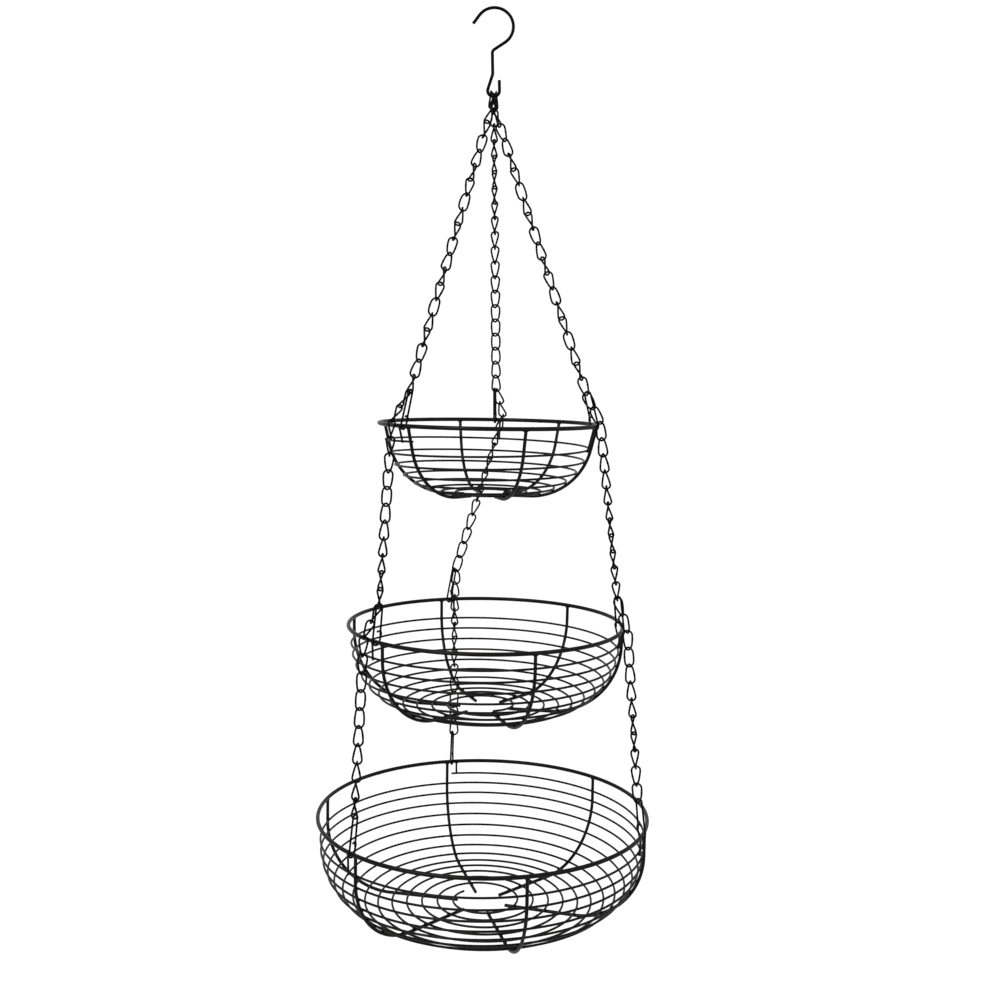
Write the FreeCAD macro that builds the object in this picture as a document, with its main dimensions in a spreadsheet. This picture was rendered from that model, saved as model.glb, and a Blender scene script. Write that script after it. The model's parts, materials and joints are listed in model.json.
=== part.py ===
import FreeCAD, Part
import Sketcher
import math
import os

# A three-tier hanging wire basket. The origin is where the crook of the hook rests on a nail or a
# ceiling hook; +Z is up and -Y is the front. Azimuths are measured from the front, positive to +X.

V = FreeCAD.Vector
Rotation = FreeCAD.Rotation
Placement = FreeCAD.Placement
UP = V(0, 0, 1)
doc = FreeCAD.newDocument("hanging_basket")

SIZES = [
    # hook: one wire bent into a crook, a shank and an eye
    ("hook_wire", 2.9), ("tip_run", 9.5), ("crook_radius", 17.2), ("crook_sweep", 199.7),
    ("throat_run", 11.5), ("throat_bend", 4.0), ("throat_sweep", 57.7), ("shank_run", 18.0),
    ("neck_bend", 6.0), ("neck_sweep", 19.2), ("eye_leg_run", 13.0), ("eye_bend", 5.4),
    ("eye_sweep", 199.2), ("eye_end_run", 9.5),
    # chain link: an oval of wire whose lower end is twisted against its upper end
    ("link_wire", 1.8), ("link_span", 17.0), ("link_half_width", 4.0), ("link_twist", 78.0),
    ("link_play", 0.4), ("seat_spare", 0.9), ("bow_offset", 1.42), ("eye_play", 0.4), ("bunch_play", 0.5),
    # the links that take a chain past a rim: outside it and to one side of the clip
    ("bypass_gap", 1.8), ("bypass_aside", 8.5),
    # snap clip: spring leg, apex loop, back leg, foot, keeper and curled tip
    ("clip_wire", 1.8), ("spring_run", 24.0), ("apex_bend", 2.9), ("apex_sweep", 178.0),
    ("back_run", 29.0), ("foot_bend", 3.3), ("foot_sweep", 173.0), ("keeper_run", 7.0),
    ("curl_bend", 2.1), ("curl_sweep", 165.0), ("clip_height", 32.4),
    # baskets: rim, ribs outside, spiral wire inside the ribs
    ("spiral_wire", 2.0), ("rib_wire", 3.0), ("rim_gap", 0.1), ("spiral_end_radius", 24.0),
    ("weld_gap", 0.03), ("stub_aside", 5.2), ("stub_overrun", 1.2), ("stub_gap", 0.1),
    ("top_rim_wire", 3.8), ("top_rim_radius", 99.7), ("top_wall_run", 20.0), ("top_wall_slope", 14.0),
    ("top_rib_sweep", "=90 - top_wall_slope"), ("top_bend", 57.5), ("top_floor_run", 17.0),
    ("top_pitch", 12.6), ("top_growth", 0.15),
    ("top_drop", 378.0),
    ("middle_rim_wire", 3.6), ("middle_rim_radius", 125.2), ("middle_wall_run", 12.0),
    ("middle_wall_slope", 1.0), ("middle_bend", 64.5), ("middle_floor_run", 38.0),
    ("middle_rib_sweep", "=90 - middle_wall_slope"),
    ("middle_pitch", 10.2), ("middle_growth", 0.4), ("middle_drop", 561.8),
    ("bottom_rim_wire", 3.6), ("bottom_rim_radius", 150.6), ("bottom_wall_run", 20.0),
    ("bottom_wall_slope", 0.5), ("bottom_bend", 62.5), ("bottom_floor_run", 65.5),
    ("bottom_rib_sweep", "=90 - bottom_wall_slope"),
    ("bottom_pitch", 9.9), ("bottom_growth", 0.35), ("bottom_drop", 736.2),
]
sheet = doc.addObject("Spreadsheet::Sheet", "Sizes")
for row, (alias, value) in enumerate(SIZES, 1):
    sheet.set("A%d" % row, alias.replace("_", " "))
    sheet.set("B%d" % row, str(value))
    sheet.setAlias("B%d" % row, alias)
doc.recompute()


def size(alias):
    return float(sheet.get(alias))


TIERS = ("top", "middle", "bottom")
SIDES = ("left", "right", "back")
RIB_AZIMUTH = {
    "top": (19.0, 77.0, 137.0, 197.0, 257.0, 317.0),
    "middle": (20.0, 80.0, 140.0, 201.5, 260.0, 316.5),
    "bottom": (14.7, 73.5, 133.5, 195.0, 258.0, 316.0),
}
CLIP_AZIMUTH = {
    "top": {"left": -47.0, "right": 73.5, "back": 177.0},
    "middle": {"left": -47.5, "right": 75.5, "back": 198.0},
    "bottom": {"left": -46.0, "right": 69.5, "back": 193.3},
}
# each clip leans inwards with the pull of its chain, and the middle back one along the rim too
CLIP_LEAN = {"top": 15.0, "middle": 7.0, "bottom": 7.0}
CLIP_SWAY = {("middle", "back"): -8.0}
# turn of each clip about the vertical, out of the plane square to the rim
CLIP_TWIST = {
    "top": {"left": 14.0, "right": -12.0, "back": 18.0},
    "middle": {"left": -10.0, "right": 16.0, "back": 20.0},
    "bottom": {"left": 12.0, "right": -18.0, "back": 6.0},
}
UPPER_LINKS = 19
BYPASS_LINKS = 2
LEG_LINKS = {"middle": 11, "bottom": 10}
SPIRAL_START = {"top": -43.0, "middle": 80.0, "bottom": 193.5}
ARC_TURN = 30


# ---------- bent wire: runs and turns in one plane ----------

HOOK_PATH = [
    ("run", "tip_run"), ("right", "crook_radius", "crook_sweep"), ("run", "throat_run"),
    ("left", "throat_bend", "throat_sweep"), ("run", "shank_run"),
    ("right", "neck_bend", "neck_sweep"), ("run", "eye_leg_run"),
    ("left", "eye_bend", "eye_sweep"), ("run", "eye_end_run"),
]
CLIP_PATH = [
    ("run", "spring_run"), ("right", "apex_bend", "apex_sweep"), ("run", "back_run"),
    ("right", "foot_bend", "foot_sweep"), ("run", "keeper_run"), ("right", "curl_bend", "curl_sweep"),
]


def rib_path(tier):
    return [("run", tier + "_wall_run"), ("right", tier + "_bend", tier + "_rib_sweep"),
            ("run", tier + "_floor_run")]


def trace(path):
    """The joints of a bent wire that starts at the origin and heads up its own second axis."""
    at = V(0, 0, 0)
    heading = math.pi / 2
    steps = []
    for kind, first, *rest in path:
        start = at
        if kind == "run":
            at = start + V(math.cos(heading), math.sin(heading), 0) * size(first)
            steps.append({"kind": kind, "start": start, "end": at, "heading": heading})
            continue
        side = 1 if kind == "left" else -1
        radius = size(first)
        sweep = math.radians(size(rest[0]))
        centre = start + V(-math.sin(heading), math.cos(heading), 0) * radius * side
        begin = heading - side * math.pi / 2
        heading += side * sweep
        at = centre + V(math.cos(begin + side * sweep), math.sin(begin + side * sweep), 0) * radius
        low, high = sorted((begin, begin + side * sweep))
        steps.append({"kind": kind, "start": start, "end": at, "heading": heading,
                      "centre": centre, "radius": radius, "low": low, "high": high})
    return steps


def origin_plane(body, role):
    return next(item for item in body.Origin.OriginFeatures if item.Role == role)


def bent_wire(label, path, wire_alias):
    """A wire of round section swept along runs and turns: a body with two sketches and a pipe."""
    body = doc.addObject("PartDesign::Body", label)
    body.Label = label
    spine = body.newObject("Sketcher::SketchObject", label + "_spine")
    spine.AttachmentSupport = (origin_plane(body, "XZ_Plane"), "")
    spine.MapMode = "FlatFace"
    last_end = None
    for step, (kind, first, *rest) in zip(trace(path), path):
        if kind == "run":
            piece = spine.addGeometry(Part.LineSegment(step["start"], step["end"]), False)
            entry, leave = 1, 2
            number = spine.addConstraint(
                Sketcher.Constraint("Distance", piece, step["start"].distanceToPoint(step["end"])))
            spine.setExpression("Constraints[%d]" % number, "Sizes." + first)
        else:
            circle = Part.Circle(step["centre"], UP, step["radius"])
            piece = spine.addGeometry(Part.ArcOfCircle(circle, step["low"], step["high"]), False)
            entry, leave = (1, 2) if kind == "left" else (2, 1)
            number = spine.addConstraint(Sketcher.Constraint("Radius", piece, step["radius"]))
            spine.setExpression("Constraints[%d]" % number, "Sizes." + first)
            number = spine.addConstraint(
                Sketcher.Constraint("Angle", piece, step["high"] - step["low"]))
            spine.setExpression("Constraints[%d]" % number, "Sizes.%s * 1 deg" % rest[0])
        if last_end is None:
            spine.addConstraint(Sketcher.Constraint("Coincident", piece, 1, -1, 1))
            spine.addConstraint(Sketcher.Constraint("Vertical", piece))
        else:
            spine.addConstraint(Sketcher.Constraint("Tangent", *last_end, piece, entry))
        last_end = (piece, leave)
    section = body.newObject("Sketcher::SketchObject", label + "_section")
    section.AttachmentSupport = (origin_plane(body, "XY_Plane"), "")
    section.MapMode = "FlatFace"
    ring = section.addGeometry(Part.Circle(V(0, 0, 0), UP, size(wire_alias) / 2), False)
    section.addConstraint(Sketcher.Constraint("Coincident", ring, 3, -1, 1))
    number = section.addConstraint(Sketcher.Constraint("Diameter", ring, size(wire_alias)))
    section.setExpression("Constraints[%d]" % number, "Sizes." + wire_alias)
    pipe = body.newObject("PartDesign::AdditivePipe", label + "_pipe")
    pipe.Profile = section
    pipe.Spine = (spine, ["Edge%d" % (n + 1) for n in range(len(path))])
    pipe.Mode = "Frenet"
    body.Tip = pipe
    return body


def frame(first, third, at):
    """A placement whose local X is near first, whose local Z is third and whose origin is at."""
    along = V(third).normalize()
    across = first - along * first.dot(along)
    across.normalize()
    side = along.cross(across)
    matrix = FreeCAD.Matrix(across.x, side.x, along.x, at.x, across.y, side.y, along.y, at.y,
                            across.z, side.z, along.z, at.z, 0, 0, 0, 1)
    return Placement(matrix)


def around(azimuth, radius, height):
    angle = math.radians(azimuth)
    return V(radius * math.sin(angle), -radius * math.cos(angle), height)


def outward(azimuth):
    return around(azimuth, 1, 0)


def sideways(azimuth):
    """Unit vector along the rim, towards growing azimuth."""
    return around(azimuth + 90, 1, 0)


# ---------- hook ----------

hook_steps = trace(HOOK_PATH)
crook_centre = hook_steps[1]["centre"]
eye_centre = hook_steps[7]["centre"]


def make_hook():
    """The crook's centre is straight above the middle of the eye, so that the load hangs plumb."""
    hook = bent_wire("top_hook", HOOK_PATH, "hook_wire")
    down = (eye_centre - crook_centre).normalize()
    turn = math.degrees(math.atan2(-1, 0) - math.atan2(down.y, down.x))
    spin = Rotation(V(0, -1, 0), turn)
    inside_top = size("crook_radius") - size("hook_wire") / 2
    centre = V(crook_centre.x, 0, crook_centre.y)
    hook.Placement = Placement(V(0, 0, -inside_top) - spin.multVec(centre), spin)
    return hook


def eye_level():
    """Height of the centreline at the bottom of the eye."""
    depth = crook_centre.distanceToPoint(eye_centre) + size("eye_bend")
    return -(size("crook_radius") - size("hook_wire") / 2) - depth


# ---------- chain links ----------

def arc_tube(start, tangent, end, radius):
    """A round wire along the arc that leaves start along tangent and reaches end."""
    chord = end - start
    normal = tangent.cross(chord).normalize()
    inward = normal.cross(tangent)
    bend = chord.Length ** 2 / (2 * chord.dot(inward))
    centre = start + inward * bend
    angle = math.degrees((start - centre).getAngle(end - centre))
    disc = Part.Face(Part.Wire(Part.Circle(start, tangent, radius).toShape()))
    return disc.revolve(centre, normal, angle)


def biarc(start, leave, end, arrive, radius):
    """Two arcs that join two points with given directions, as round wire."""
    span = end - start
    both = leave + arrive
    square = 2 * (leave.dot(arrive) - 1)
    linear = -2 * span.dot(both)
    reach = (-linear - math.sqrt(linear ** 2 - 4 * square * span.dot(span))) / (2 * square)
    middle = (start + leave * reach + end - arrive * reach) * 0.5
    first = arc_tube(start, leave, middle, radius)
    second = arc_tube(end, arrive * -1, middle, radius)
    return [first, second]


def link_shape():
    """A twisted oval: its upper bow lies along X at the origin and its lower bow is turned."""
    half, span = size("link_half_width"), size("link_span")
    twist = math.radians(size("link_twist"))
    radius = size("link_wire") / 2

    def flank(side, depth):
        """A point where the wire runs straight along the twisted oval, and its direction."""
        turn = twist * depth / span
        across = V(math.cos(turn), math.sin(turn), 0) * side
        along = V(-across.y, across.x, 0) * (half * twist / span) - UP
        return across * half - UP * depth, along.normalize()

    tip, tip_way = V(0, 0, -span), V(math.cos(twist), math.sin(twist), 0)
    pieces = []
    for side in (1, -1):
        upper, upper_way = flank(side, half)
        lower, lower_way = flank(side, span - half)
        pieces += biarc(V(0, 0, 0), V(side, 0, 0), upper, upper_way, radius)
        pieces += biarc(upper, upper_way, lower, lower_way, radius)
        pieces += biarc(lower, lower_way, tip, tip_way * -side, radius)
    return pieces[0].fuse(pieces[1:]).removeSplitter()


LINK = link_shape()


def angle_about(direction, vector):
    """Angle of vector about a chain's own axis, in degrees."""
    basis = frame(V(1, 0, 0), direction * -1, V(0, 0, 0)).inverse()
    local = basis.multVec(vector)
    return math.degrees(math.atan2(local.y, local.x))


def chain_links(start, end, count, first_angle, last_angle=None, half_turns=0):
    """count links from one bow's centreline to the other's. Their bows cross at near 90 degrees,
    and less where the whole run is wound up by some half turns."""
    direction = (end - start).normalize()
    step = ((end - start).Length - size("link_span")) / max(count - 1, 1)
    crossing = 90.0
    if last_angle is not None and count > 1:
        free = last_angle - first_angle - count * size("link_twist") - (count - 1) * 90
        crossing += ((free + 90) % 180 - 90 + half_turns * 180) / (count - 1)
    links = []
    for number in range(count):
        turn = first_angle + number * (size("link_twist") + crossing)
        place = frame(V(1, 0, 0), direction * -1, start + direction * step * number)
        link = LINK.copy()
        link.Placement = place.multiply(Placement(V(0, 0, 0), Rotation(UP, turn)))
        links.append(link)
    return links


def slack(count, start, end):
    """Play left between the wires of neighbouring links."""
    step = ((end - start).Length - size("link_span")) / (count - 1)
    return size("link_span") - size("link_wire") - step


def group(label, shapes):
    feature = doc.addObject("Part::Feature", label)
    feature.Label = label
    feature.Shape = Part.makeCompound(shapes)
    feature.Placement = Placement(V(0, 0, 0), Rotation())
    return feature


# ---------- where each clip hangs ----------

def rim_level(tier):
    return -size(tier + "_drop")


def clip_up(tier, side):
    """Unit vector up a clip from the rim."""
    azimuth = CLIP_AZIMUTH[tier][side]
    lean = math.tan(math.radians(CLIP_LEAN[tier]))
    sway = math.tan(math.radians(CLIP_SWAY.get((tier, side), 0)))
    return (UP - outward(azimuth) * lean + sideways(azimuth) * sway).normalize()


def clip_across(tier, side):
    """Direction in a clip's plane, near outward."""
    return Rotation(UP, CLIP_TWIST[tier][side]).multVec(outward(CLIP_AZIMUTH[tier][side]))


def cross_axis(tier, side):
    """Unit vector square to a clip's plane. The clip is on its + side and the chain on its - side."""
    return clip_up(tier, side).cross(clip_across(tier, side)).normalize()


# a clip and the next link share a bow, each bow_offset from its middle and so this much higher
BOW_RISE = size("link_half_width") - math.sqrt(size("link_half_width") ** 2 - size("bow_offset") ** 2)


def clip_post(tier, side):
    """The point of the rim's centreline that a clip hangs from."""
    return around(CLIP_AZIMUTH[tier][side], size(tier + "_rim_radius"), rim_level(tier))


def hang(tier, side, start):
    """Where a chain from start ends so that its last bow carries the clip, and the seat it leaves free."""
    drop = (size("clip_wire") + size("link_wire")) / 2 + size("link_play") + size("seat_spare")
    seat = clip_post(tier, side) + clip_up(tier, side) * (size("clip_height") - drop)
    end = seat
    for _ in range(3):
        way = (end - start).normalize()
        across = cross_axis(tier, side) - way * cross_axis(tier, side).dot(way)
        across.normalize()
        end = seat - across * size("bow_offset") + way * BOW_RISE
    return end, end - across * size("bow_offset") - way * BOW_RISE


def bypass(tier, side, seat):
    """Start and end of the two links that take the chain past the rim, outside it and beside the clip."""
    azimuth = CLIP_AZIMUTH[tier][side]
    clear = (size(tier + "_rim_wire") + size("link_wire")) / 2 + size("link_half_width") + size("bypass_gap")
    post = clip_post(tier, side) + outward(azimuth) * clear - sideways(azimuth) * size("bypass_aside")
    way = (post - seat).normalize()
    start = seat - way * (size("link_wire") + size("link_play"))
    step = size("link_span") - size("link_wire") - size("link_play")
    return start, start + way * (size("link_span") + (BYPASS_LINKS - 1) * step)


# ---------- sub-parts ----------

# the three top links sit side by side in the eye and bunch below it. For each: seat along X in the
# eye, foot along X and Y, turn of its upper bow, then place and turn of the next link on its lower bow
BUNCH = {
    "left": (-2.45, 0.0, -4.67, 0.2, -0.92, 10.8),
    "right": (-0.13, 0.18, 0.45, -30.7, 1.28, -4.2),
    "back": (2.45, 0.0, 5.72, -0.1, 0.17, 6.2),
}
WOUND = {"left": -4, "right": -4, "back": 0}
free_seats = {}


def make_upper_chains():
    eye = V(0, 0, eye_level())
    rise = (size("hook_wire") + size("link_wire")) / 2 + size("eye_play")
    reach = size("eye_bend") - rise
    bend = size("link_half_width")
    tops = []
    lowest = 0
    for side in SIDES:
        seat, foot_x, foot_y, turn, aside, next_turn = BUNCH[side]
        start = eye + V(seat, 0, rise + reach - math.sqrt(reach ** 2 - seat ** 2))
        drop = math.sqrt(size("link_span") ** 2 - (foot_x - seat) ** 2 - foot_y ** 2)
        foot = V(foot_x, foot_y, start.z - drop)
        lowest = min(lowest, foot.z)
        hanging = (foot - start).normalize()
        first = angle_about(hanging, V(0, 1, 0)) + turn
        tops += chain_links(start, foot, 1, first)
        stand = frame(V(1, 0, 0), hanging * -1, V(0, 0, 0))
        bow = stand.multVec(Rotation(UP, first + size("link_twist")).multVec(V(1, 0, 0)))
        bow *= math.copysign(1, bow.x)
        lift = bend - math.sqrt(bend ** 2 - aside ** 2) + size("link_wire") + size("bunch_play")
        start = foot + bow * aside - hanging * lift
        end, free_seats["top", side] = hang("top", side, start)
        direction = (end - start).normalize()
        links = chain_links(start, end, UPPER_LINKS, angle_about(direction, bow) + 90 + next_turn,
                            angle_about(direction, cross_axis("top", side)), WOUND[side])
        group("upper_chain_" + side, links)
        print("upper", side, "play", round(slack(UPPER_LINKS, start, end), 3))
    group("top_links", tops)
    print("eye_level", round(eye_level(), 3), "lower_bow", round(lowest, 2))


def make_lower_chain(above, tier, side):
    start, end = bypass(above, side, free_seats[above, side])
    way = (end - start).normalize()
    first = angle_about(way, cross_axis(above, side)) + 90
    group(above + "_bypass_" + side, chain_links(start, end, BYPASS_LINKS, first))
    last = first + BYPASS_LINKS * size("link_twist") + (BYPASS_LINKS - 1) * 90
    goal, free_seats[tier, side] = hang(tier, side, end)
    leg_way = (goal - end).normalize()
    leg_start = end - (way + leg_way).normalize() * (size("link_wire") + size("link_play"))
    count = LEG_LINKS[tier]
    links = chain_links(leg_start, goal, count, last + 90, angle_about(leg_way, cross_axis(tier, side)))
    group(tier + "_chain_" + side, links)
    pivot = (end + leg_start) * 0.5
    print(tier, side, "play", round(slack(count, leg_start, goal), 3),
          "pivot", [round(value, 2) for value in pivot], "seat", [round(value, 2) for value in goal])


def make_clip(tier, side):
    """A snap clip that hangs on its link and carries the rim in its foot."""
    clip = bent_wire("%s_clip_%s" % (tier, side), CLIP_PATH, "clip_wire")
    steps = trace(CLIP_PATH)
    foot = steps[3]["centre"]
    lean = steps[2]["heading"] + math.pi / 2
    upright = Placement(V(0, 0, 0), Rotation(V(0, -1, 0), -math.degrees(lean)))
    shift = Placement(V(-foot.x, 0, -foot.y), Rotation())
    depth = size("foot_bend") - (size(tier + "_rim_wire") + size("clip_wire")) / 2 - size("rim_gap")
    post = clip_post(tier, side) + clip_up(tier, side) * depth
    stand = frame(clip_across(tier, side), clip_up(tier, side), post)
    clip.Placement = stand.multiply(upright).multiply(shift)
    return clip


def make_rim(tier):
    rim = doc.addObject("Part::Torus", tier + "_rim")
    rim.Label = tier + "_rim"
    rim.setExpression("Radius1", "Sizes.%s_rim_radius" % tier)
    rim.setExpression("Radius2", "Sizes.%s_rim_wire / 2" % tier)
    rim.Placement = Placement(V(0, 0, rim_level(tier)), Rotation())
    return rim


def make_rib(tier, number):
    rib = bent_wire("%s_rib_%d" % (tier, number + 1), rib_path(tier), "rib_wire")
    azimuth = RIB_AZIMUTH[tier][number]
    radius = size(tier + "_rim_radius")
    top = around(azimuth, radius, rim_level(tier) - size(tier + "_rim_wire") / 2)
    slope = math.radians(size(tier + "_wall_slope"))
    down = UP * -math.cos(slope) - outward(azimuth) * math.sin(slope)
    rib.Placement = frame(outward(azimuth) * -1, down, top)
    return rib


def wall_point(tier, travel):
    """Radius and depth under the rim of the spiral's centreline, travel along the rib's line."""
    slope = math.radians(size(tier + "_wall_slope"))
    inset = (size("rib_wire") + size("spiral_wire")) / 2 + size("weld_gap")
    run, bend = size(tier + "_wall_run"), size(tier + "_bend")
    down = min(travel, run)
    radius = size(tier + "_rim_radius") - down * math.sin(slope)
    depth = size(tier + "_rim_wire") / 2 + down * math.cos(slope)
    turn = min(max(travel - run, 0) / bend, math.pi / 2 - slope)
    radius -= bend * (math.cos(slope) - math.cos(slope + turn))
    depth += bend * (math.sin(slope + turn) - math.sin(slope))
    radius -= max(travel - run - bend * (math.pi / 2 - slope), 0)
    radius -= inset * math.cos(slope + turn)
    depth -= inset * math.sin(slope + turn)
    return radius, depth


def spiral_travel(tier, turned):
    """Distance along the wall from the rim. The turns lie a little farther apart lower down."""
    turns = turned / 360
    return size(tier + "_pitch") * (1 + turns) + size(tier + "_growth") * turns ** 2 / 2


def spiral_point(tier, turned):
    """A point of the spiral after turned degrees, clockwise from above."""
    radius, depth = wall_point(tier, spiral_travel(tier, turned))
    return around(SPIRAL_START[tier] - turned, radius, rim_level(tier) - depth)


def make_spiral(tier):
    """The spiral wire in short arcs, which meet face to face."""
    lengths = []
    turned = 0
    while wall_point(tier, spiral_travel(tier, turned))[0] > size("spiral_end_radius"):
        start, middle, end = [spiral_point(tier, turned + part) for part in (0, ARC_TURN / 2, ARC_TURN)]
        arc = Part.Arc(start, middle, end)
        lengths.append(arc_tube(start, V(*arc.tangent(arc.FirstParameter)[0]), end,
                                size("spiral_wire") / 2))
        turned += ARC_TURN
    group(tier + "_spiral", lengths)


def make_stubs(tier):
    """Short wires from the rim to the first turn. They keep each clip beside its rib."""
    stubs = []
    for side in SIDES:
        reach = math.degrees(size("stub_aside") / size(tier + "_rim_radius"))
        azimuth = CLIP_AZIMUTH[tier][side] - reach
        turned = (SPIRAL_START[tier] - azimuth) % 360
        ring = spiral_point(tier, turned)
        foot = ring + outward(azimuth) * (size("spiral_wire") + size("weld_gap")) - UP * size("stub_overrun")
        under = rim_level(tier) - size(tier + "_rim_wire") / 2 - size("stub_gap")
        top = around(azimuth, size(tier + "_rim_radius"), under)
        way = foot - top
        stubs.append(Part.makeCylinder(size("spiral_wire") / 2, way.Length, top, way))
    group(tier + "_stubs", stubs)


make_hook()
make_upper_chains()
for above, tier in (("top", "middle"), ("middle", "bottom")):
    for side in SIDES:
        make_lower_chain(above, tier, side)
for tier in TIERS:
    make_rim(tier)
    for number in range(len(RIB_AZIMUTH[tier])):
        make_rib(tier, number)
    make_spiral(tier)
    make_stubs(tier)
    for side in SIDES:
        make_clip(tier, side)
doc.recompute()


def section_check(body, path, wire_alias):
    """Compare a bent wire's volume with its section times its length."""
    length = 0
    for step in trace(path):
        if step["kind"] == "run":
            length += step["start"].distanceToPoint(step["end"])
        else:
            length += step["radius"] * (step["high"] - step["low"])
    expected = math.pi * (size(wire_alias) / 2) ** 2 * length
    if abs(body.Shape.Volume / expected - 1) > 0.01:
        raise SystemExit("%s: volume %.2f, expected %.2f" % (body.Label, body.Shape.Volume, expected))


KINDS = ("PartDesign::Body", "Part::Feature", "Part::Torus")
pieces = [item for item in doc.Objects if item.TypeId in KINDS]
for item in doc.Objects:
    if "Invalid" in item.State or "Error" in item.State:
        raise SystemExit("%s failed: %s" % (item.Label, item.State))
for item in pieces:
    if item.Shape.isNull() or not item.Shape.isValid():
        raise SystemExit(item.Label + " has no valid shape")
section_check(doc.getObject("top_hook"), HOOK_PATH, "hook_wire")
for tier in TIERS:
    section_check(doc.getObject(tier + "_rib_1"), rib_path(tier), "rib_wire")
    section_check(doc.getObject(tier + "_clip_left"), CLIP_PATH, "clip_wire")

os.makedirs("parts", exist_ok=True)
for item in pieces:
    item.Shape.exportStep("parts/%s.step" % item.Label)
print(len(pieces), "nodes")
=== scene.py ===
import json
import math

import bpy
import numpy as np
from mathutils import Matrix, Vector


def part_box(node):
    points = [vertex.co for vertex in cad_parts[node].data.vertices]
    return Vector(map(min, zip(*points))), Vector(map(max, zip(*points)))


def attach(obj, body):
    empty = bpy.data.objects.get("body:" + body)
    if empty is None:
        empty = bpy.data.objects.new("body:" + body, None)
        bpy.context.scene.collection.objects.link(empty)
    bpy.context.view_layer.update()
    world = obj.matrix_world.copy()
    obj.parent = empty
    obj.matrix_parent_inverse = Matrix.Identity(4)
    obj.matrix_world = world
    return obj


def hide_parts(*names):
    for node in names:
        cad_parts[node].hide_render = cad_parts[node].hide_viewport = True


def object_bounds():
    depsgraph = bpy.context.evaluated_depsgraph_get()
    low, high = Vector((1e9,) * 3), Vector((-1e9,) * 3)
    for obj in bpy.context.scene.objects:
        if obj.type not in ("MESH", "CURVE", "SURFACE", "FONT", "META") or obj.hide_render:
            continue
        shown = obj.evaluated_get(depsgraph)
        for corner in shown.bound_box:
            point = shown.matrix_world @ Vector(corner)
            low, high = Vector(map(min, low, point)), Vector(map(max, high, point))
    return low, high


# Looks for the hanging basket: every wire is a smooth tube of its own gauge, with weld beads and cut
# ends, under black powder coat or enamel. Azimuths run from the front towards +X.

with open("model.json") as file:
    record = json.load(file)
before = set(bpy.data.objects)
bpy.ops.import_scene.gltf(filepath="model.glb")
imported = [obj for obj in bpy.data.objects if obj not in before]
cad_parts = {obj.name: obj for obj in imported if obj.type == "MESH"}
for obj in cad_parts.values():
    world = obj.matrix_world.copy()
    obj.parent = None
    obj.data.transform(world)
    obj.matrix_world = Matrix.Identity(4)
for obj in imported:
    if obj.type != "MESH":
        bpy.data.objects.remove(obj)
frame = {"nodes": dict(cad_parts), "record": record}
cad_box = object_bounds()

MM = 0.001
UP = Vector((0, 0, 1))
TIERS = ("top", "middle", "bottom")
SIDES = ("left", "right", "back")


# ---------- sizes as the design has them, in millimetres and degrees ----------

RIB_AZIMUTH = {
    "top": (19.0, 77.0, 137.0, 197.0, 257.0, 317.0),
    "middle": (20.0, 80.0, 140.0, 201.5, 260.0, 316.5),
    "bottom": (14.7, 73.5, 133.5, 195.0, 258.0, 316.0),
}
WALL = {
    "top": {"run": 20.0, "slope": 14.0, "bend": 57.5, "floor": 17.0, "pitch": 12.6, "growth": 0.15,
            "start": -43.0},
    "middle": {"run": 12.0, "slope": 1.0, "bend": 64.5, "floor": 38.0, "pitch": 10.2, "growth": 0.4,
               "start": 80.0},
    "bottom": {"run": 20.0, "slope": 0.5, "bend": 62.5, "floor": 65.5, "pitch": 9.9, "growth": 0.35,
               "start": 193.5},
}
RIB_WIRE, SPIRAL_WIRE, WELD_GAP = 3.0, 2.0, 0.03
SPIRAL_END_RADIUS = 24.0
ARC_TURN = 30
HOOK_WIRE = 2.9
HOOK_PATH = [("run", 9.5), ("right", 17.2, 199.7), ("run", 11.5), ("left", 4.0, 57.7), ("run", 18.0),
             ("right", 6.0, 19.2), ("run", 13.0), ("left", 5.4, 199.2), ("run", 9.5)]
CLIP_WIRE = 1.8
CLIP_PATH = [("run", 24.0), ("right", 2.9, 178.0), ("run", 29.0), ("right", 3.3, 173.0), ("run", 7.0),
             ("right", 2.1, 165.0)]
CLIP_AZIMUTH = {
    "top": {"left": -47.0, "right": 73.5, "back": 177.0},
    "middle": {"left": -47.5, "right": 75.5, "back": 198.0},
    "bottom": {"left": -46.0, "right": 69.5, "back": 193.3},
}
CLIP_LEAN = {"top": 15.0, "middle": 7.0, "bottom": 7.0}
CLIP_SWAY = {("middle", "back"): -8.0}
CLIP_TWIST = {
    "top": {"left": 14.0, "right": -12.0, "back": 18.0},
    "middle": {"left": -10.0, "right": 16.0, "back": 20.0},
    "bottom": {"left": 12.0, "right": -18.0, "back": 6.0},
}
RIM_GAP = 0.1
STUB_ASIDE, STUB_OVERRUN, STUB_GAP = 5.2, 1.2, 0.1
LINK_WIRE, LINK_SPAN, LINK_HALF, LINK_TWIST = 1.8, 17.0, 4.0, 78.0

# ---------- finish: how finely the wires are drawn, and how big the welds are ----------

# spacing of points along a wire, in millimetres and for the spiral in degrees
RUN_SPACING, BEND_SPACING, CLIP_BEND_SPACING, RIB_SPACING = 2.5, 0.6, 0.45, 1.5
SPIRAL_STEP = 2
RIM_POINTS = 360
STUB_POINTS = 9
HOOK_SIDES, RIM_SIDES, WIRE_SIDES, THIN_SIDES = 24, 20, 18, 14
# rounding of a cut end as a share of its wire's radius, and its rings as shares of the rounding
CUT_EDGE = 0.22
CUT_STEPS = (0.0, 0.3, 0.6, 0.85)
BEAD_ROUGHNESS = 0.07
SHARP_ANGLE = 50
# azimuth of each rim's own butt weld, its half length, and its half width as a share of the wire
RIM_SEAM = {"top": 150, "middle": 262, "bottom": 225}
RIM_SEAM_LENGTH, RIM_SEAM_WIDTH = 1.9, 0.54
# how far a rib's end reaches into the rim
RIB_SINK = 0.4
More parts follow.
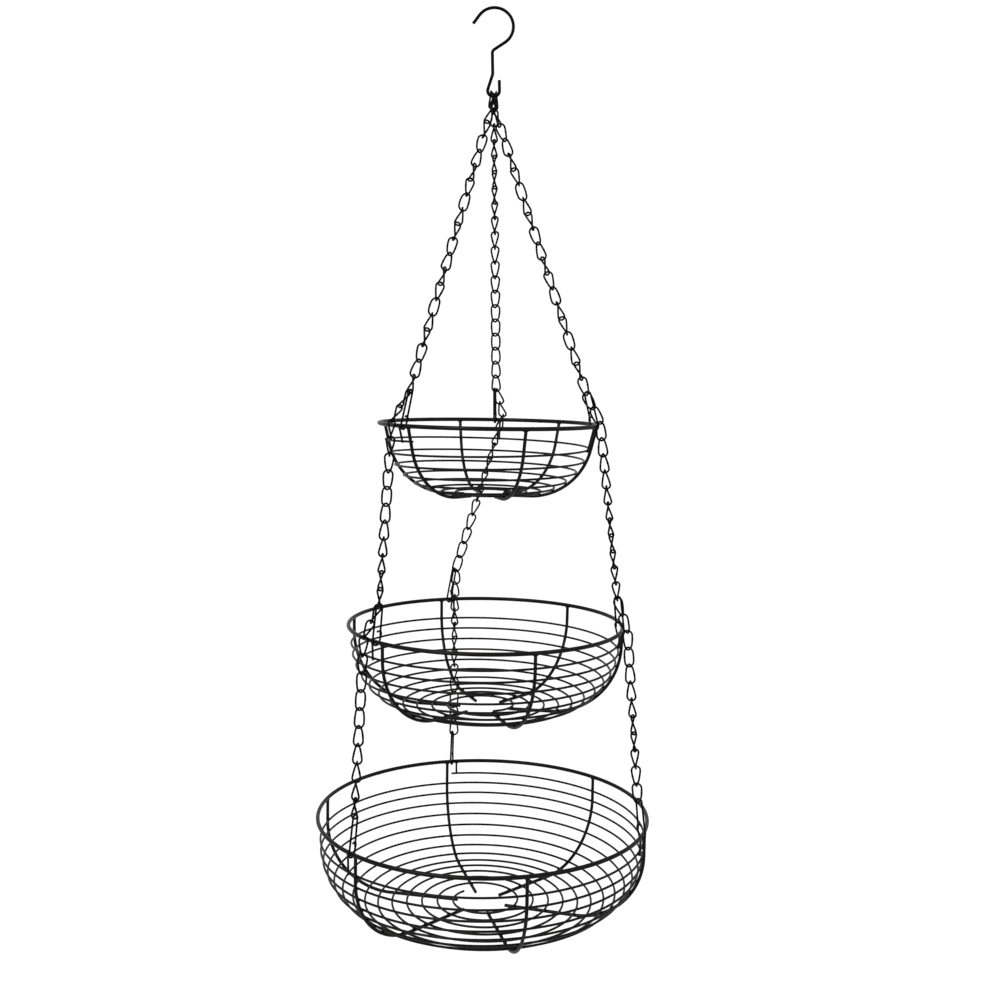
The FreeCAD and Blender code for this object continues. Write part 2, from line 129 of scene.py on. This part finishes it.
# half sizes of each kind of weld bead: along the rim or spiral, towards the next wire, and across
RIB_WELD = (2.5, 0.95, 1.7)
CROSSING_WELD = (1.65, 0.62, 0.95)
STUB_WELD = (1.7, 0.7, 1.3)
STUB_FOOT_WELD = (1.2, 0.6, 0.85)
# points along a link's bow and flank, then its welded joint: swelling and half length
BOW_POINTS, FLANK_POINTS = 12, 9
JOINT_SWELL, JOINT_REACH = 0.14, 0.8


def rim_sizes(tier):
    """Ring radius, wire and level of a rim in millimetres, read from its CAD node."""
    low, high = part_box(tier + "_rim")
    wire = (high.z - low.z) / MM
    return (high.x - low.x) / 2 / MM - wire / 2, wire, (high.z + low.z) / 2 / MM


RIM = {tier: rim_sizes(tier) for tier in TIERS}


def around(azimuth, radius, height):
    angle = math.radians(azimuth)
    return Vector((radius * math.sin(angle), -radius * math.cos(angle), height))


# ---------- materials ----------

def new_material(name):
    material = bpy.data.materials.new(name)
    material.use_nodes = True
    nodes = material.node_tree.nodes
    return material, nodes, material.node_tree.links, nodes["Principled BSDF"]


def noise(nodes, links, coords, scale, detail=2.0):
    texture = nodes.new("ShaderNodeTexNoise")
    texture.inputs["Scale"].default_value = scale
    texture.inputs["Detail"].default_value = detail
    texture.inputs["Roughness"].default_value = 0.55
    links.new(coords, texture.inputs["Vector"])
    return texture.outputs["Fac"]


def ramp(nodes, links, source, stops):
    """A colour ramp: stops are (place, (r, g, b))."""
    node = nodes.new("ShaderNodeValToRGB")
    elements = node.color_ramp.elements
    while len(elements) < len(stops):
        elements.new(0.5)
    for element, (place, colour) in zip(elements, stops):
        element.position = place
        element.color = (*colour, 1)
    links.new(source, node.inputs["Fac"])
    return node.outputs["Color"]


def spread(nodes, links, source, low, high):
    """Map a 0 to 1 value to a range."""
    node = nodes.new("ShaderNodeMapRange")
    node.inputs["To Min"].default_value = low
    node.inputs["To Max"].default_value = high
    links.new(source, node.inputs["Value"])
    return node.outputs["Result"]


# scales of the noise, which grow as its grain gets finer, and the height of the peel in metres
PATCH_SCALE, GRAIN_SCALE, SKIN_SCALE, RUN_SCALE = 55.0, 420.0, 1500.0, 260.0
PEEL_HEIGHT = 0.00012


def coated_wire(name, base, lift, roughness, gloss, peel):
    """Black coat on steel wire: fine orange peel, uneven gloss, paler worn patches."""
    material, nodes, links, shader = new_material(name)
    coords = nodes.new("ShaderNodeTexCoord").outputs["Object"]
    patches = noise(nodes, links, coords, PATCH_SCALE, 4.0)
    worn = tuple(1.7 * v for v in lift)
    colour = ramp(nodes, links, patches, [(0.32, base), (0.62, lift), (0.8, worn)])
    links.new(colour, shader.inputs["Base Color"])
    grain = noise(nodes, links, coords, GRAIN_SCALE)
    links.new(spread(nodes, links, grain, *roughness), shader.inputs["Roughness"])
    shader.inputs["Specular IOR Level"].default_value = gloss
    skin = noise(nodes, links, coords, SKIN_SCALE)
    runs = noise(nodes, links, coords, RUN_SCALE)
    both = nodes.new("ShaderNodeMath")
    both.operation = "ADD"
    links.new(skin, both.inputs[0])
    links.new(runs, both.inputs[1])
    bump = nodes.new("ShaderNodeBump")
    bump.inputs["Strength"].default_value = peel
    bump.inputs["Distance"].default_value = PEEL_HEIGHT
    links.new(both.outputs[0], bump.inputs["Height"])
    links.new(bump.outputs["Normal"], shader.inputs["Normal"])
    return material


BASKET = coated_wire("powder_coat", base=(0.0012, 0.001, 0.001), lift=(0.0034, 0.0026, 0.0024),
                     roughness=(0.3, 0.46), gloss=0.07, peel=0.3)
CHAIN = coated_wire("chain_enamel", base=(0.0008, 0.0007, 0.0007), lift=(0.002, 0.0017, 0.0016),
                    roughness=(0.4, 0.56), gloss=0.03, peel=0.25)
HOOK = coated_wire("hook_enamel", base=(0.0006, 0.0005, 0.0005), lift=(0.0014, 0.0012, 0.0012),
                   roughness=(0.4, 0.54), gloss=0.02, peel=0.2)


def dress(obj, material):
    obj.data.materials.clear()
    obj.data.materials.append(material)


# ---------- tubes ----------

# a direction that no wire starts along, to take its first side vector from
ODD_WAY = (0.31, 0.17, 0.93)


def moving_frames(points, closed):
    """Unit directions and two side vectors at each point, carried along without twist."""
    if closed:
        ahead = np.roll(points, -1, 0) - np.roll(points, 1, 0)
    else:
        ahead = np.gradient(points, axis=0)
    ahead /= np.linalg.norm(ahead, axis=1)[:, None]
    side = np.cross(ahead[0], ODD_WAY)
    side /= np.linalg.norm(side)
    first = [side]
    for step in range(1, len(points)):
        side = first[-1] - ahead[step] * np.dot(first[-1], ahead[step])
        first.append(side / np.linalg.norm(side))
    first = np.array(first)
    if closed:
        back = first[-1] - ahead[0] * np.dot(first[-1], ahead[0])
        second = np.cross(ahead[0], first[0])
        drift = math.atan2(np.dot(back, second), np.dot(back, first[0]))
        turn = -drift * np.arange(len(points)) / len(points)
        other = np.cross(ahead, first)
        first = first * np.cos(turn)[:, None] + other * np.sin(turn)[:, None]
    return ahead, first, np.cross(ahead, first)


def tube(points, radius, sides, closed=False, swell=None):
    """Vertices and faces of a round wire. Open ends are cut square with a small rounded edge."""
    points = np.asarray(points, float)
    ahead, first, second = moving_frames(points, closed)
    radii = np.full(len(points), radius) if swell is None else radius * np.asarray(swell)
    rings = [(points[n], first[n], second[n], radii[n]) for n in range(len(points))]
    if not closed:
        edge = CUT_EDGE * radius
        start, end = [], []
        for cut in CUT_STEPS:
            shrink = edge * (1 - math.sqrt(1 - (1 - cut) ** 2))
            start.append((points[0] + ahead[0] * edge * cut, first[0], second[0], radii[0] - shrink))
            end.append((points[-1] - ahead[-1] * edge * cut, first[-1], second[-1], radii[-1] - shrink))
        rings = start + rings[1:-1] + end[::-1]
    angles = np.linspace(0, 2 * math.pi, sides, endpoint=False)
    verts = [c + r * (math.cos(a) * u + math.sin(a) * v) for c, u, v, r in rings for a in angles]
    count = len(rings)
    faces = []
    for ring in range(count if closed else count - 1):
        here, there = ring * sides, (ring + 1) % count * sides
        for k in range(sides):
            after = (k + 1) % sides
            faces.append((here + k, here + after, there + after, there + k))
    if not closed:
        faces.append(tuple(range(sides))[::-1])
        faces.append(tuple((count - 1) * sides + k for k in range(sides)))
    return verts, faces


def bead(centre, along, across, size, seed, rings=7, sides=12):
    """A weld bead: a squashed, slightly uneven blob. Its half sizes run along, across and out."""
    size_along, size_across, size_out = size
    centre, along, across = (np.asarray(v, float) for v in (centre, along, across))
    along = along / np.linalg.norm(along)
    across = across - along * np.dot(across, along)
    across /= np.linalg.norm(across)
    out = np.cross(along, across)
    rough = np.random.default_rng(seed).normal(0, BEAD_ROUGHNESS, (rings + 1, sides))
    verts, faces = [], []
    for ring in range(1, rings):
        polar = math.pi * ring / rings
        for k in range(sides):
            turn = 2 * math.pi * k / sides
            push = 1 + rough[ring, k]
            verts.append(centre + along * size_along * math.cos(polar)
                         + push * math.sin(polar) * (across * size_across * math.cos(turn)
                                                     + out * size_out * math.sin(turn)))
    verts.append(centre + along * size_along)
    verts.append(centre - along * size_along)
    for ring in range(rings - 2):
        for k in range(sides):
            here, after = ring * sides + k, ring * sides + (k + 1) % sides
            faces.append((here, here + sides, after + sides, after))
    last = (rings - 2) * sides
    for k in range(sides):
        faces.append((len(verts) - 2, k, (k + 1) % sides))
        faces.append((len(verts) - 1, last + (k + 1) % sides, last + k))
    return verts, faces


def piece(name, parts, body, nodes, material):
    """One mesh object from several shapes, in millimetres, standing for CAD nodes."""
    verts, faces = [], []
    for some_verts, some_faces in parts:
        base = len(verts)
        verts += [tuple(float(c) * MM for c in v) for v in some_verts]
        faces += [tuple(base + i for i in face) for face in some_faces]
    mesh = bpy.data.meshes.new(name)
    mesh.from_pydata(verts, [], faces)
    mesh.validate()
    obj = bpy.data.objects.new(name, mesh)
    bpy.context.collection.objects.link(obj)
    mesh.shade_smooth()
    mesh.set_sharp_from_angle(angle=math.radians(SHARP_ANGLE))
    dress(obj, material)
    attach(obj, body)
    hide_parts(*nodes)


# ---------- bent wire in one plane ----------

def bent_points(path, spacing):
    """Points along a bent wire that starts at the origin and heads up its second axis, and the
    centre and heading of each run and bend."""
    at = np.zeros(2)
    heading = math.pi / 2
    points = [at]
    joints = []
    for kind, first, *rest in path:
        if kind == "run":
            way = np.array((math.cos(heading), math.sin(heading)))
            count = max(int(first / RUN_SPACING), 2)
            points += [at + way * first * k / count for k in range(1, count + 1)]
            at = at + way * first
            joints.append({"centre": None, "heading": heading})
            continue
        side = 1 if kind == "left" else -1
        sweep = math.radians(rest[0])
        centre = at + np.array((-math.sin(heading), math.cos(heading))) * first * side
        begin = heading - side * math.pi / 2
        count = max(int(first * sweep / spacing), 10)
        for k in range(1, count + 1):
            angle = begin + side * sweep * k / count
            points.append(centre + np.array((math.cos(angle), math.sin(angle))) * first)
        heading += side * sweep
        at = points[-1]
        joints.append({"centre": centre, "heading": heading})
    return np.array(points), joints


def make_hook():
    points, joints = bent_points(HOOK_PATH, BEND_SPACING)
    crook, eye = joints[1]["centre"], joints[7]["centre"]
    down = eye - crook
    turn = -math.pi / 2 - math.atan2(down[1], down[0])
    spin = np.array(((math.cos(turn), -math.sin(turn)), (math.sin(turn), math.cos(turn))))
    flat = (points - crook) @ spin.T
    inside_top = HOOK_PATH[1][1] - HOOK_WIRE / 2
    wire = np.c_[flat[:, 0], np.zeros(len(flat)), flat[:, 1] - inside_top]
    piece("hook_wire", [tube(wire, HOOK_WIRE / 2, HOOK_SIDES)], "hook", ["top_hook"], HOOK)


def make_clip(tier, side):
    points, joints = bent_points(CLIP_PATH, CLIP_BEND_SPACING)
    radius, wire, level = RIM[tier]
    azimuth = CLIP_AZIMUTH[tier][side]
    foot = joints[3]["centre"]
    lean = joints[2]["heading"] + math.pi / 2
    spin = np.array(((math.cos(-lean), -math.sin(-lean)), (math.sin(-lean), math.cos(-lean))))
    flat = (points - foot) @ spin.T
    inward = math.tan(math.radians(CLIP_LEAN[tier]))
    sway = math.tan(math.radians(CLIP_SWAY.get((tier, side), 0)))
    up = (UP - around(azimuth, inward, 0) + around(azimuth + 90, sway, 0)).normalized()
    across = Matrix.Rotation(math.radians(CLIP_TWIST[tier][side]), 3, "Z") @ around(azimuth, 1, 0)
    across = (across - up * across.dot(up)).normalized()
    hang = CLIP_PATH[3][1] - (wire + CLIP_WIRE) / 2 - RIM_GAP
    post = around(azimuth, radius, level) + up * hang
    line = [post + across * float(u) + up * float(v) for u, v in flat]
    piece("clip_%s_%s" % (tier, side), [tube(line, CLIP_WIRE / 2, WIRE_SIDES)], tier + "_tier",
          ["%s_clip_%s" % (tier, side)], CHAIN)


# ---------- baskets ----------

def wall_point(tier, travel, inset):
    """Radius and depth under the rim of a line inset from the ribs' centreline."""
    wall = WALL[tier]
    radius, wire, _ = RIM[tier]
    slope = math.radians(wall["slope"])
    down = min(travel, wall["run"])
    radius -= down * math.sin(slope)
    depth = wire / 2 + down * math.cos(slope)
    turn = min(max(travel - wall["run"], 0) / wall["bend"], math.pi / 2 - slope)
    radius -= wall["bend"] * (math.cos(slope) - math.cos(slope + turn))
    depth += wall["bend"] * (math.sin(slope + turn) - math.sin(slope))
    radius -= max(travel - wall["run"] - wall["bend"] * (math.pi / 2 - slope), 0)
    radius -= inset * math.cos(slope + turn)
    depth -= inset * math.sin(slope + turn)
    return radius, depth


def spiral_travel(tier, turned):
    """Distance down the wall from the rim once the spiral has turned so many degrees."""
    turns = turned / 360
    return WALL[tier]["pitch"] * (1 + turns) + WALL[tier]["growth"] * turns ** 2 / 2


SPIRAL_INSET = (RIB_WIRE + SPIRAL_WIRE) / 2 + WELD_GAP


def spiral_point(tier, turned):
    radius, depth = wall_point(tier, spiral_travel(tier, turned), SPIRAL_INSET)
    return around(WALL[tier]["start"] - turned, radius, RIM[tier][2] - depth)


def spiral_turned(tier):
    """Degrees that the spiral turns through before it ends, in the design's whole arcs."""
    turned = 0
    while wall_point(tier, spiral_travel(tier, turned), SPIRAL_INSET)[0] > SPIRAL_END_RADIUS:
        turned += ARC_TURN
    return turned


def make_spiral(tier):
    count = spiral_turned(tier) // SPIRAL_STEP
    line = [spiral_point(tier, SPIRAL_STEP * k) for k in range(count + 1)]
    piece(tier + "_spiral_wire", [tube(line, SPIRAL_WIRE / 2, THIN_SIDES)], tier + "_tier",
          [tier + "_spiral"], BASKET)


def make_rim(tier):
    radius, wire, level = RIM[tier]
    line = [around(360 * k / RIM_POINTS, radius, level) for k in range(RIM_POINTS)]
    joint = RIM_SEAM[tier]
    parts = [tube(line, wire / 2, RIM_SIDES, closed=True)]
    seam = around(joint, radius, level)
    girth = wire * RIM_SEAM_WIDTH
    parts.append(bead(seam, around(joint + 90, 1, 0), UP, (RIM_SEAM_LENGTH, girth, girth), joint))
    piece(tier + "_rim_ring", parts, tier + "_tier", [tier + "_rim"], BASKET)


def make_rib(tier, number):
    """A rib with its butt weld under the rim and a weld bead at each turn of the spiral."""
    wall = WALL[tier]
    radius, wire, level = RIM[tier]
    azimuth = RIB_AZIMUTH[tier][number]
    length = wall["run"] + wall["bend"] * math.radians(90 - wall["slope"]) + wall["floor"]
    count = int(length / RIB_SPACING)
    line = []
    for k in range(count + 1):
        r, depth = wall_point(tier, length * k / count, 0)
        line.append(around(azimuth, r, level - depth))
    line[0] += UP * RIB_SINK
    parts = [tube(line, RIB_WIRE / 2, WIRE_SIDES)]
    top = around(azimuth, radius, level - wire / 2)
    parts.append(bead(top, around(azimuth + 90, 1, 0), UP, RIB_WELD, 100 + number))
    turned = (wall["start"] - azimuth) % 360
    limit = spiral_turned(tier)
    seed = 1000 * (TIERS.index(tier) + 1) + 50 * number
    while turned <= limit:
        travel = spiral_travel(tier, turned)
        r, depth = wall_point(tier, travel, RIB_WIRE / 2)
        spot = around(azimuth, r, level - depth)
        r_in, depth_in = wall_point(tier, travel, SPIRAL_INSET)
        toward = around(azimuth, r_in, level - depth_in) - spot
        parts.append(bead(spot, around(azimuth + 90, 1, 0), toward, CROSSING_WELD, seed))
        seed += 1
        turned += 360
    name = "%s_rib_%d" % (tier, number + 1)
    piece(name + "_wire", parts, tier + "_tier", [name], BASKET)


def make_stubs(tier):
    """The short wires that keep the clips beside the ribs."""
    radius, wire, level = RIM[tier]
    parts = []
    for side in SIDES:
        azimuth = CLIP_AZIMUTH[tier][side] - math.degrees(STUB_ASIDE / radius)
        ring = spiral_point(tier, (WALL[tier]["start"] - azimuth) % 360)
        out = around(azimuth, 1, 0)
        foot = ring + out * (SPIRAL_WIRE + WELD_GAP) - UP * STUB_OVERRUN
        top = around(azimuth, radius, level - wire / 2 - STUB_GAP)
        line = [top.lerp(foot, k / (STUB_POINTS - 1)) for k in range(STUB_POINTS)]
        parts.append(tube(line, SPIRAL_WIRE / 2, THIN_SIDES))
        along = around(azimuth + 90, 1, 0)
        seed = abs(int(100 + azimuth))
        parts.append(bead(top, along, UP, STUB_WELD, seed))
        parts.append(bead(ring + out * SPIRAL_WIRE / 2, along, out, STUB_FOOT_WELD, seed + 7))
    piece(tier + "_stub_wires", parts, tier + "_tier", [tier + "_stubs"], BASKET)


# ---------- chains ----------

def link_line():
    """Centreline of one twisted link about its middle, in millimetres, and its swelling at the joint."""
    straight = LINK_SPAN / 2 - LINK_HALF
    half = []
    for k in range(BOW_POINTS):
        angle = math.pi * (k + 0.5) / BOW_POINTS - math.pi / 2
        half.append((LINK_HALF * math.sin(angle), straight + LINK_HALF * math.cos(angle)))
    for k in range(FLANK_POINTS):
        half.append((LINK_HALF, straight * (1 - 2 * k / (FLANK_POINTS - 1))))
    flat = half + [(-x, -z) for x, z in half]
    line, swell = [], []
    for x, z in flat:
        turn = math.radians(LINK_TWIST) * (LINK_SPAN / 2 - z) / LINK_SPAN
        line.append((x * math.cos(turn), x * math.sin(turn), z))
        near = math.exp(-(z / JOINT_REACH) ** 2) if x == -LINK_HALF else 0.0
        swell.append(1 + JOINT_SWELL * near)
    return np.array(line), swell


LINK_LINE, LINK_SWELL = link_line()
LINK_TUBE = tube(LINK_LINE, LINK_WIRE / 2, THIN_SIDES, closed=True, swell=LINK_SWELL)
# mesh points that share a cell of this grid are one; both in micrometres, the span above any chain's
WELD_GRID = 1
GRID_SPAN = 4000000
# how much of each end of a link counts as its bow, then the fit's sample of vertices and its rounds
BOW_DEPTH = 2.4
FIT_SAMPLE, FIT_ROUNDS = 400, 4


def islands(mesh):
    """Vertex positions of each loose part of a mesh, in millimetres."""
    places = np.zeros(len(mesh.vertices) * 3)
    mesh.vertices.foreach_get("co", places)
    places = places.reshape(-1, 3) / MM
    edges = np.zeros(len(mesh.edges) * 2, dtype=int)
    mesh.edges.foreach_get("vertices", edges)
    grid = np.round((places - places.min(0)) * 1000 / WELD_GRID).astype(np.int64)
    key = (grid[:, 0] * GRID_SPAN + grid[:, 1]) * GRID_SPAN + grid[:, 2]
    _, welded = np.unique(key, return_inverse=True)
    first, second = welded[edges[0::2]], welded[edges[1::2]]
    label = np.arange(welded.max() + 1)
    settled = False
    while not settled:
        before = label.copy()
        lower = np.minimum(label[first], label[second])
        np.minimum.at(label, first, lower)
        np.minimum.at(label, second, lower)
        label = label[label]
        settled = bool((label == before).all())
    owner = label[welded]
    return [places[owner == root] for root in np.unique(owner)]


def link_place(cloud):
    """Middle and axes of a link: its long axis, and the plane of its upper bow."""
    long_axis = np.linalg.svd(cloud - cloud.mean(0), full_matrices=False)[2][0]
    long_axis *= math.copysign(1, long_axis[2])
    along = cloud @ long_axis
    low, high = along.min(), along.max()
    ends = []
    for part in (along > high - BOW_DEPTH, along < low + BOW_DEPTH):
        bow = cloud[part]
        flat = bow - bow.mean(0)
        flat = flat - np.outer(flat @ long_axis, long_axis)
        ends.append((bow.mean(0), np.linalg.svd(flat, full_matrices=False)[2][0]))
    axis = ends[0][0] - ends[1][0]
    axis /= np.linalg.norm(axis)
    across = ends[0][1] - axis * np.dot(ends[0][1], axis)
    across /= np.linalg.norm(across)
    middle = (ends[0][0] + ends[1][0]) / 2
    return middle, across, np.cross(axis, across), axis


def settle(cloud, middle, axes):
    """Shift and turn a placed link by least squares until its wire lies in the CAD link's wire."""
    sample = cloud[::max(len(cloud) // FIT_SAMPLE, 1)]
    wire_line = np.concatenate([LINK_LINE, (LINK_LINE + np.roll(LINK_LINE, -1, 0)) / 2])
    for _ in range(FIT_ROUNDS):
        local = (sample - middle) @ axes.T
        apart = local[:, None, :] - wire_line[None, :, :]
        nearest = np.argmin((apart ** 2).sum(2), 1)
        away = apart[np.arange(len(local)), nearest]
        distance = np.linalg.norm(away, axis=1)
        away /= distance[:, None]
        slopes = np.hstack([away, np.cross(local, away)])
        step = np.linalg.lstsq(slopes, distance - LINK_WIRE / 2, rcond=None)[0]
        turn = Matrix.Rotation(float(np.linalg.norm(step[3:])), 3, Vector(step[3:]))
        middle = middle + step[:3] @ axes
        axes = np.array(turn).T @ axes
    return middle, axes


def make_chain(node, body):
    parts = []
    verts = np.array(LINK_TUBE[0])
    for cloud in islands(frame["nodes"][node].data):
        middle, across, side, axis = link_place(cloud)
        middle, axes = settle(cloud, middle, np.array((across, side, axis)))
        placed = middle + verts @ axes
        parts.append((placed, LINK_TUBE[1]))
    piece(node + "_links", parts, body, [node], CHAIN)


# ---------- build ----------

make_hook()
for tier in TIERS:
    make_rim(tier)
    make_spiral(tier)
    make_stubs(tier)
    for number in range(len(RIB_AZIMUTH[tier])):
        make_rib(tier, number)
    for side in SIDES:
        make_clip(tier, side)
for body, members in frame["record"]["behaviour"]["bodies"].items():
    for node in members:
        if "chain" in node or "bypass" in node or node == "top_links":
            make_chain(node, body)
for node in frame["nodes"].values():
    dress(node, BASKET)


# ---------- room, lights and camera, in metres and watts ----------

FLOOR_BELOW = 0.16
FLOOR_FRONT, FLOOR_TURN, FLOOR_HALF_WIDTH = -3.0, 1.3, 1.6
SWEEP_BEND, SWEEP_TOP, SWEEP_STEPS = 0.9, 1.95, 12
FLOOR_COLOUR, FLOOR_GLOW = 0.08, 0.94
LIGHT_TARGET = (0, 0, -0.45)
LENS, SHIFT = 44.7, -0.1062
CAMERA_PLACE = (0.011, -1.14, -0.329)
CAMERA_DOWN, CAMERA_ROLL = 1.107, 0.873


def make_floor():
    """A plain pale floor that sweeps up behind the object. It glows, so that it stays even white."""
    low = cad_box[0][2] - FLOOR_BELOW
    rows = [(FLOOR_FRONT, 0.0), (FLOOR_TURN, 0.0)]
    for k in range(1, SWEEP_STEPS + 1):
        angle = math.pi / 2 * k / SWEEP_STEPS
        rows.append((FLOOR_TURN + SWEEP_BEND * math.sin(angle), SWEEP_BEND * (1 - math.cos(angle))))
    rows.append((FLOOR_TURN + SWEEP_BEND, SWEEP_TOP))
    verts = [(x, y, low + z) for y, z in rows for x in (-FLOOR_HALF_WIDTH, FLOOR_HALF_WIDTH)]
    faces = [(2 * k, 2 * k + 1, 2 * k + 3, 2 * k + 2) for k in range(len(rows) - 1)]
    mesh = bpy.data.meshes.new("floor")
    mesh.from_pydata(verts, [], faces)
    mesh.shade_smooth()
    floor = bpy.data.objects.new("floor", mesh)
    bpy.context.collection.objects.link(floor)
    material, _, _, shader = new_material("pale_floor")
    shader.inputs["Base Color"].default_value = (FLOOR_COLOUR, FLOOR_COLOUR, FLOOR_COLOUR, 1)
    shader.inputs["Roughness"].default_value = 0.9
    shader.inputs["Emission Color"].default_value = (1, 1, 1, 1)
    shader.inputs["Emission Strength"].default_value = FLOOR_GLOW
    floor.data.materials.append(material)


def area_light(name, place, size, power):
    light = bpy.data.lights.new(name, "AREA")
    light.shape = "DISK"
    light.size = size
    light.energy = power
    obj = bpy.data.objects.new(name, light)
    obj.location = place
    obj.rotation_euler = (Vector(LIGHT_TARGET) - Vector(place)).to_track_quat("-Z", "Y").to_euler()
    bpy.context.collection.objects.link(obj)


def make_lights():
    world = bpy.data.worlds.new("studio")
    world.use_nodes = True
    background = world.node_tree.nodes["Background"]
    background.inputs["Color"].default_value = (1, 1, 1, 1)
    background.inputs["Strength"].default_value = 1.0
    bpy.context.scene.world = world
    area_light("key", place=(-1.1, -1.6, 0.9), size=0.6, power=60)
    area_light("fill", place=(1.6, -1.3, 0.1), size=0.7, power=10)


def make_camera():
    camera = bpy.data.cameras.new("camera")
    camera.sensor_width = 36
    camera.lens = LENS
    camera.shift_y = SHIFT
    camera.clip_start = 0.01
    obj = bpy.data.objects.new("camera", camera)
    aim = Matrix.Rotation(math.radians(90 - CAMERA_DOWN), 4, "X")
    roll = Matrix.Rotation(math.radians(CAMERA_ROLL), 4, "Z")
    obj.matrix_world = Matrix.Translation(CAMERA_PLACE) @ aim @ roll
    bpy.context.collection.objects.link(obj)
    bpy.context.scene.camera = obj


make_floor()
make_lights()
make_camera()
bpy.context.scene.view_settings.view_transform = "Standard"
